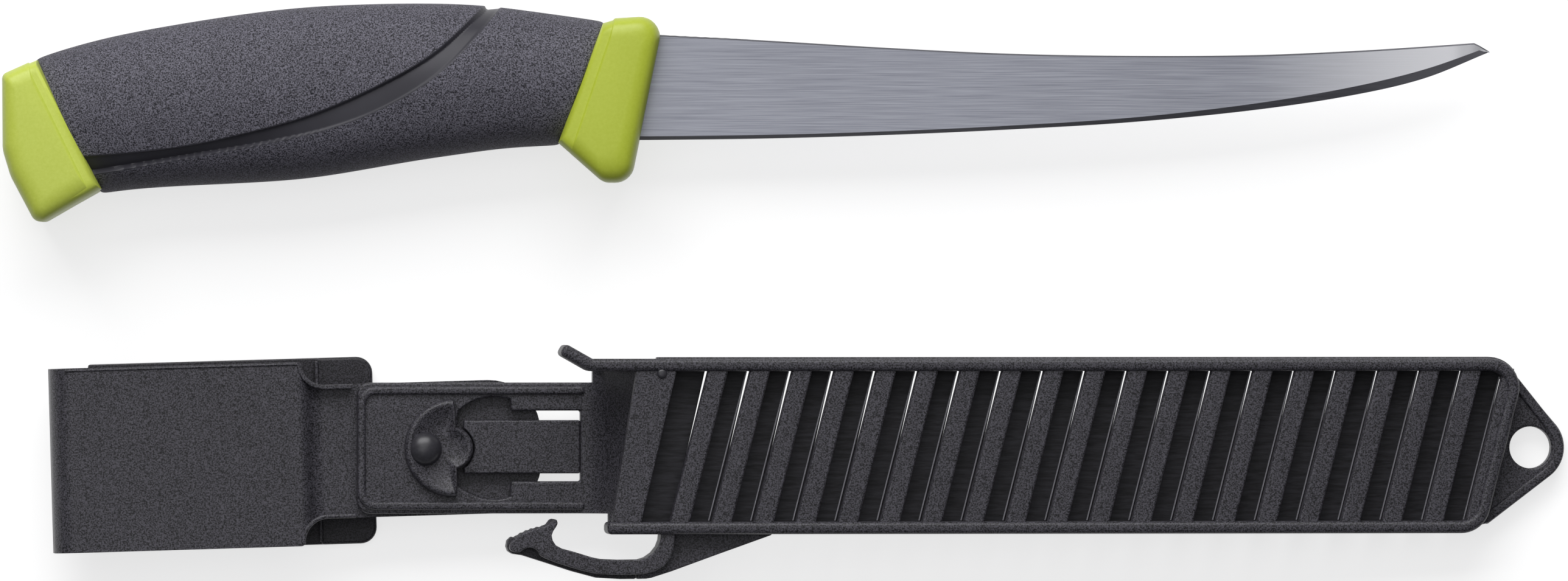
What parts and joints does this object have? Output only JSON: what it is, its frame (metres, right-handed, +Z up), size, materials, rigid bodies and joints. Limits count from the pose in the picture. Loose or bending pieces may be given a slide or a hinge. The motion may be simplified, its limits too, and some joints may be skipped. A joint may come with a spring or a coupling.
{
  "type": "fillet knife with sheath",
  "caption": "Narrow curved fillet knife with a two-colour moulded handle, beside its slatted plastic sheath with belt clip, lock tongue and release arm.",
  "frame": {"origin": "middle of the pair's bounding box, on the surface that the knife and the sheath lie on", "axes": "+X from the butt to the tip, +Y from the sheath to the knife, +Z up off the surface"},
  "size_m": [0.2887, 0.1066, 0.0272],
  "materials": {
    "blade_steel": "brushed along its length",
    "lime_plastic": "satin, fine grain",
    "grip_rubber": "fine sand grain with a smooth groove",
    "sheath_plastic": "fine moulded grain"
  },
  "bodies": {
    "knife": {"blade": "blade_steel", "handle_core": "lime_plastic", "grip": "grip_rubber"},
    "sheath": {"body_rim": "sheath_plastic", "front_slats": "sheath_plastic", "back_bars": "sheath_plastic", "throat_panel": "sheath_plastic", "guide_tab": "sheath_plastic", "neck_ramp": "sheath_plastic", "neck_plate": "sheath_plastic", "arm_bracket": "sheath_plastic", "tail_plate": "sheath_plastic", "belt_clip": "sheath_plastic", "lock_stud": "sheath_plastic"},
    "tongue": {"lock_tongue": "sheath_plastic"},
    "arm": {"release_arm": "sheath_plastic"},
    "rear_leg": {"clip_leg": "sheath_plastic"}
  },
  "joints": [
    {"name": "sheath_lift", "type": "slide", "parent": "knife", "child": "sheath", "axis": [0, 0, 1], "range_m": [0, 0.08]},
    {"name": "tongue_flex", "type": "hinge", "parent": "sheath", "child": "tongue", "pos_m": [-0.03795, -0.02905, 0.00924], "axis": [0, 1, 0], "range_deg": [0, 10], "stiffness_Nm_per_rad": 0.4},
    {"name": "arm_release", "type": "hinge", "parent": "sheath", "child": "arm", "pos_m": [-0.02795, -0.053, 0.02131], "axis": [0.099, 0, 0.9951], "range_deg": [0, 22], "stiffness_Nm_per_rad": 0.5},
    {"name": "clip_spread", "type": "hinge", "parent": "sheath", "child": "rear_leg", "pos_m": [-0.12866, -0.03102, 0.00521], "axis": [-0.0288, 0.9996, 0], "range_deg": [0, 6], "stiffness_Nm_per_rad": 3}
  ]
}
